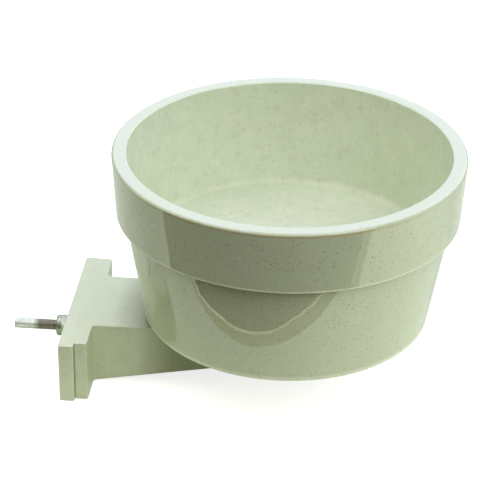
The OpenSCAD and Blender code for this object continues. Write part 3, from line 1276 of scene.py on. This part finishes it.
@dataclass
class Fasteners:
    """The bolt, washer, lock nut and its plastic ring, all on the X axis."""

    bright: bpy.types.Material
    # The darker steel copy, which paints shade on the washer and nut.
    steel_in_shade: bpy.types.Material
    nylon: bpy.types.Material
    bolt_r: float = 2.413 * MM
    hole_play: float = 0.25 * MM
    pitch: float = 1.0583 * MM
    thread_depth: float = 0.24 * MM
    shank_sides: int = 32
    shank_cuts: tuple[int, ...] = (99, 2)
    side_normal: float = 0.5
    head_h: float = 3.05 * MM
    head_edge: float = 0.25 * MM
    tip_taper: float = 1.0 * MM
    ring_edge: float = 0.2 * MM
    ring_steps: int = 64
    edge_steps: int = 3
    washer_bore_r: float = 2.78 * MM
    nut_play: float = 0.07 * MM
    nut_collar_h: float = 2.2 * MM
    nut_collar_round: float = 0.9 * MM
    nut_collar_step: float = 0.1 * MM
    nut_steps: int = 96
    insert_play: float = 0.05 * MM

    def bolt(self) -> None:
        """Makes the bolt with a true helical thread."""
        low, high = node_box(Part.BOLT)
        tip = low.x + MARGIN
        neck = high.x - self.head_h
        shank = Workpiece.bar("bolt_threaded", self.bolt_r, tip, neck + OVER, self.shank_sides)
        for cuts in self.shank_cuts:
            if shank.pick_faces(lambda normal: abs(normal.x) < self.side_normal):
                bpy.ops.mesh.select_mode(type="EDGE")
                for edge in bmesh.from_edit_mesh(shank.body.data).edges:
                    run = edge.verts[1].co - edge.verts[0].co
                    edge.select_set(abs(run.x) > abs(run.y) + abs(run.z))
                bpy.ops.mesh.subdivide(number_cuts=cuts)
            bpy.ops.object.mode_set(mode="OBJECT")
        self.cut_thread(shank.body.data, tip)
        head = Workpiece.bar("head", hex_corner((high.y - low.y) / 2), neck, high.x - MARGIN, HEX_SIDES)
        head.turn_flats_sideways()
        head.round_edges(lambda a, b: True, self.head_edge, segments=2)
        shank.combine(head, Join.ADD)
        shank.finish(self.bright, Part.BOLT, Body.BRACKET, Slot.STEEL, sharp=50)

    def cut_thread(self, mesh: bpy.types.Mesh, tip: float) -> None:
        """Moves the shank's points in to the helix of the thread.

        Args:
            mesh: The shank's mesh.
            tip: Where the bolt ends along X.
        """
        for vertex in mesh.vertices:
            place = vertex.co
            radius = math.hypot(place.y, place.z)
            if radius < self.bolt_r / 2:
                continue
            turn = math.atan2(place.z, place.y) / FULL_TURN
            phase = ((place.x - tip) / self.pitch + turn) % 1
            groove = 1 - abs(2 * phase - 1)
            taper = max(0.0, 1 - (place.x - tip) / self.tip_taper)
            share = (self.bolt_r - self.thread_depth * max(groove, taper)) / radius
            vertex.co = Vector((place.x, place.y * share, place.z * share))

    def ring(self, name: str, part: Part, inner_r: float) -> Workpiece:
        """Makes a flat ring that fills a CAD node's length and diameter.

        Args:
            name: The object's name.
            part: The node that it stands for.
            inner_r: Radius of its hole.

        Returns:
            The ring.
        """
        low, high = node_box(part)
        edge = self.ring_edge
        round_r = (high.y - low.y) / 2 - MARGIN - edge
        start = MARGIN - high.x
        end = -low.x - MARGIN
        section = [
            (inner_r, start),
            *arc(round_r, start + edge, edge, -90, 0, self.edge_steps),
            *arc(round_r, end - edge, edge, 0, 90, self.edge_steps),
            (inner_r, end),
        ]
        return Workpiece.turned(name, section, Vector(), TO_CAGE, self.ring_steps, closed=True)

    def nut(self) -> None:
        """Makes the hexagon nut with its domed collar and the seat of its ring."""
        low, high = node_box(Part.LOCK_NUT)
        start = MARGIN - high.x
        end = -low.x - MARGIN
        flat_r = (high.y - low.y) / 2 - MARGIN
        corner_r = hex_corner(flat_r)
        chamfer = corner_r - flat_r
        hex_end = end - self.nut_collar_h
        dome = self.nut_collar_round
        collar_r = flat_r - self.nut_collar_step
        section = [
            (0, start),
            (flat_r, start),
            (corner_r, start + chamfer),
            (corner_r, hex_end - chamfer),
            (collar_r, hex_end),
            *arc(collar_r - dome, end - dome, dome, 0, 90),
            (0, end),
        ]
        nut = Workpiece.bar("lock_nut_body", corner_r, -start, -end, HEX_SIDES)
        nut.turn_flats_sideways()
        envelope = Workpiece.turned("envelope", section, Vector(), TO_CAGE, self.nut_steps)
        nut.combine(envelope, Join.KEEP_SHARED)
        nut.combine(Workpiece.bar("bore", self.bolt_r + self.nut_play, OVER, -end - OVER), Join.CUT)
        ring_low, ring_high = node_box(Part.NUT_INSERT)
        seat_r = (ring_high.y - ring_low.y) / 2 + MARGIN
        nut.combine(Workpiece.bar("seat", seat_r, ring_low.x, ring_high.x), Join.CUT)
        nut.finish(self.steel_in_shade, Part.LOCK_NUT, Body.NUT, Slot.STEEL, sharp=40)

    def build(self) -> None:
        """Makes every fastener."""
        self.bolt()
        washer = self.ring("washer_ring", Part.WASHER, self.washer_bore_r)
        washer.finish(self.steel_in_shade, Part.WASHER, Body.CLAMP, Slot.STEEL)
        self.nut()
        insert = self.ring("nut_ring", Part.NUT_INSERT, self.bolt_r + self.insert_play)
        insert.finish(self.nylon, Part.NUT_INSERT, Body.NUT, Slot.NYLON)


@dataclass
class PhotoCamera:
    """The photograph's viewpoint, solved from the cup's outline."""

    aim: Vector
    heading: float = 4.63
    elevation: float = 28.985
    roll: float = -0.936
    distance: float = 835.0 * MM
    aside: float = 15.94 * MM
    above: float = 42.22 * MM
    focal_px: float = 2000
    frame_px: float = 500
    sensor: float = 36
    farthest: float = 20

    def build(self) -> None:
        """Adds the camera and makes it the scene's."""
        heading = math.radians(self.heading)
        tilt = math.radians(self.elevation)
        level = Vector((-math.sin(heading), math.cos(heading), 0))
        ahead = level * math.cos(tilt) - UP * math.sin(tilt)
        right = Vector((math.cos(heading), math.sin(heading), 0))
        up = right.cross(ahead)
        place = self.aim - ahead * self.distance - right * self.aside - up * self.above
        roll = math.radians(self.roll)
        across = right * math.cos(roll) - up * math.sin(roll)
        upright = right * math.sin(roll) + up * math.cos(roll)
        lens = bpy.data.cameras.new("photo_camera")
        lens.sensor_width = self.sensor
        lens.lens = self.sensor * self.focal_px / self.frame_px
        lens.clip_end = self.farthest
        camera = bpy.data.objects.new("photo_camera", lens)
        turn = Matrix((across, upright, -ahead)).transposed().to_4x4()
        camera.matrix_world = Matrix.Translation(place) @ turn
        bpy.context.scene.collection.objects.link(camera)
        bpy.context.scene.camera = camera


@dataclass(frozen=True)
class Softbox:
    """One square lamp with a soft face, placed by its direction from the cup.

    Bearing 0 is the front, and 90 the cup's far side from the clamp.
    """

    name: str
    bearing: float
    elevation: float
    size: float
    power: float
    colour: Rgb = (1, 1, 1)
    distance: float = 1.4

    def build(self, aim: Vector) -> None:
        """Adds the lamp, facing a point.

        Args:
            aim: Where it points.
        """
        bearing = math.radians(self.bearing)
        height = math.radians(self.elevation)
        level = math.cos(height)
        away = Vector((math.sin(bearing) * level, -math.cos(bearing) * level, math.sin(height)))
        lamp = bpy.data.lights.new(self.name, "AREA")
        lamp.size = self.size
        lamp.energy = self.power
        lamp.color = self.colour
        holder = bpy.data.objects.new(self.name, lamp)
        holder.location = aim + away * self.distance
        holder.rotation_euler = (-away).to_track_quat("-Z", "Y").to_euler()
        bpy.context.scene.collection.objects.link(holder)


LAMPS = (
    Softbox("overhead", 180, 80, 1.0, 4.1, (0.84, 0.83, 1.0)),
    Softbox("back_window", 180, 32, 1.2, 7.3, (0.72, 0.78, 1.0)),
    Softbox("back_right", 140, 35, 1.0, 6.2, (0.82, 0.83, 1.0)),
    Softbox("back_left", 220, 35, 1.0, 1.5, (0.84, 0.95, 1.0)),
    Softbox("right_low", 90, 20, 0.9, 3.0, (0.97, 1.0, 1.0)),
    Softbox("left_low", 270, 25, 0.9, 3.8, (0.98, 1.0, 0.80)),
    Softbox("left_high", 265, 60, 0.9, 5.0, (0.99, 0.97, 1.0)),
    Softbox("front_high", 0, 50, 0.9, 4.3, (1.0, 0.97, 0.95)),
    Softbox("front_right", 45, 30, 0.7, 3.0, (1.0, 0.98, 0.95)),
    Softbox("front_right_high", 50, 50, 0.7, 5.2, (0.93, 0.94, 1.0)),
)


@dataclass
class Studio:
    """Floor, world, lamps and the dark ground in front of the sheet.

    To the camera the floor is white from white_far on, and dimmed to white_lift within white_near. In
    reflections it has a brighter pool in front. The dark ground is laid out in millimetres.
    """

    aim: Vector
    floor_z: float
    floor_size: float = 4.0
    paper: Rgb = (0.76, 0.80, 0.68)
    white: Rgb = (1, 1, 1)
    white_near: float = 0.15
    white_far: float = 0.6
    white_lift: float = 0.78
    pool_reach: float = 0.15
    pool_lean: float = 0.35
    pool_strength: float = 1.5
    pool_colour: Rgb = (0.90, 1.0, 0.74)
    sky: Rgb = (0.93, 0.98, 1.0)
    fill: float = 0.02
    mirror: float = 0.1
    sheet_edge: Edge = (
        (-900, 60), (-250, -40), (-116, -64), (-10, -78), (35, -92), (75, -103), (115, -110), (165, -112),
        (222, -136), (260, -142), (900, -300),
    )
    inner_edge: Edge = (
        (-900, 56), (-250, -44), (-116, -68), (-6, -82), (24, -95), (65, -107), (106, -118), (145, -121),
        (222, -146), (260, -156), (900, -312),
    )
    line_w: float = 1.6
    front: float = -3000
    band_z: float = 0.4 * MM
    margin_glow: Rgb = (0.90, 0.90, 0.50)
    cut_edge_glow: Rgb = (2.2, 2.3, 1.6)
    ground_glow: Rgb = (0.02, 0.02, 0.02)

    def band(self, name: str, near: Edge, far: Edge, tone: Rgb) -> None:
        """Adds one band of the dark ground, seen only in reflections.

        Args:
            name: The object's name.
            near: Its edge near the object.
            far: Its other edge.
            tone: Its glow.
        """
        mesh = bpy.data.meshes.new(name)
        count = len(near)
        points = [Vector((x * MM, y * MM, self.floor_z + self.band_z)) for x, y in (*near, *far)]
        faces = [(i, i + 1, count + i + 1, count + i) for i in range(count - 1)]
        mesh.from_pydata(points, [], faces)
        band = bpy.data.objects.new(name, mesh)
        bpy.context.scene.collection.objects.link(band)
        shader = Shader(bpy.data.materials.new(name))
        mesh.materials.append(shader.close(shader.glow(tone)))
        band.visible_camera = False
        band.visible_shadow = False
        band.visible_transmission = False

    def floor(self) -> None:
        """Adds the floor: white to the camera, brighter in front in reflections, clear from underneath."""
        clear_selection()
        middle = (self.aim.x, self.aim.y, self.floor_z)
        bpy.ops.mesh.primitive_plane_add(size=self.floor_size, location=middle)
        floor = Workpiece("studio_floor")
        shader = Shader(bpy.data.materials.new("white_sheet"))
        path = shader.add("LightPath").outputs
        away = shader.add("VectorMath", {0: shader.place}, operation="LENGTH").outputs["Value"]
        lift = shader.ramp(away, self.white_near, self.white_far, self.white_lift, 1.0)
        white = shader.glow(self.white, shader.product(lift, path["Is Camera Ray"]))
        forward = {0: shader.place, 1: (self.pool_lean, -1, 0)}
        ahead = shader.add("VectorMath", forward, operation="DOT_PRODUCT").outputs["Value"]
        peak = shader.ramp(path["Is Glossy Ray"], 0.0, 1.0, 0.0, self.pool_strength)
        pool = shader.glow(self.pool_colour, shader.ramp(ahead, 0.0, self.pool_reach, 0.0, peak))
        sheet = shader.add("BsdfDiffuse", {"Color": (*self.paper, 1)}).outputs["BSDF"]
        for light in (white, pool):
            sheet = shader.add("AddShader", {0: sheet, 1: light}).outputs["Shader"]
        underneath = shader.add("NewGeometry").outputs["Backfacing"]
        clear = shader.add("BsdfTransparent").outputs["BSDF"]
        floor.body.data.materials.append(shader.close(shader.mix(underneath, sheet, clear)))

    def world(self) -> None:
        """Sets a white background over a dimmer fill light."""
        world = bpy.data.worlds.new("studio")
        bpy.context.scene.world = world
        shader = Shader(world)
        path = shader.add("LightPath").outputs
        fill, mirror, white = (
            shader.add("Background", {"Color": (*colour, 1), "Strength": strength}).outputs["Background"]
            for colour, strength in ((self.sky, self.fill), (self.sky, self.mirror), (self.white, 1.0))
        )
        unseen = shader.mix(path["Is Glossy Ray"], fill, mirror)
        shader.close(shader.mix(path["Is Camera Ray"], unseen, white))

    def build(self) -> None:
        """Makes the whole studio."""
        self.floor()
        self.world()
        far = [(x, y - self.line_w) for x, y in self.inner_edge]
        ground = [(x, self.front) for x, _ in self.inner_edge]
        self.band("sheet_margin", self.sheet_edge, self.inner_edge, self.margin_glow)
        self.band("sheet_cut_edge", self.inner_edge, far, self.cut_edge_glow)
        self.band("dark_ground", far, ground, self.ground_glow)
        for lamp in LAMPS:
            lamp.build(self.aim)


def main() -> None:
    """Builds the object piece by piece, then the studio round it."""
    logging.basicConfig(level=logging.INFO, format="%(name)s: %(message)s")
    bpy.context.scene.view_settings.view_transform = "Standard"
    lock = TwistLock()
    fasteners = Fasteners(BRIGHT_STEEL.build(), STEEL_PAINTED_SHADE.build(), Nylon().build())
    satin = BRACKET_PLASTIC.build()
    hole_r = fasteners.bolt_r + fasteners.hole_play
    cup = Cup(lock, CUP_PLASTIC.build(), INSIDE_PLASTIC.build())
    cup.build()
    Bracket(lock, satin, cup.centre.x, cup.foot_z - MARGIN, hole_r).build()
    ClampPlate(satin, hole_r).build()
    fasteners.build()
    aim = Vector((cup.centre.x, 0, cup.rim_z + MARGIN))
    PhotoCamera(aim).build()
    Studio(aim, CAD_BOX[0][2] - FLOOR_GAP).build()
    LOG.info("sizes written")


if __name__ == "__main__":
    main()
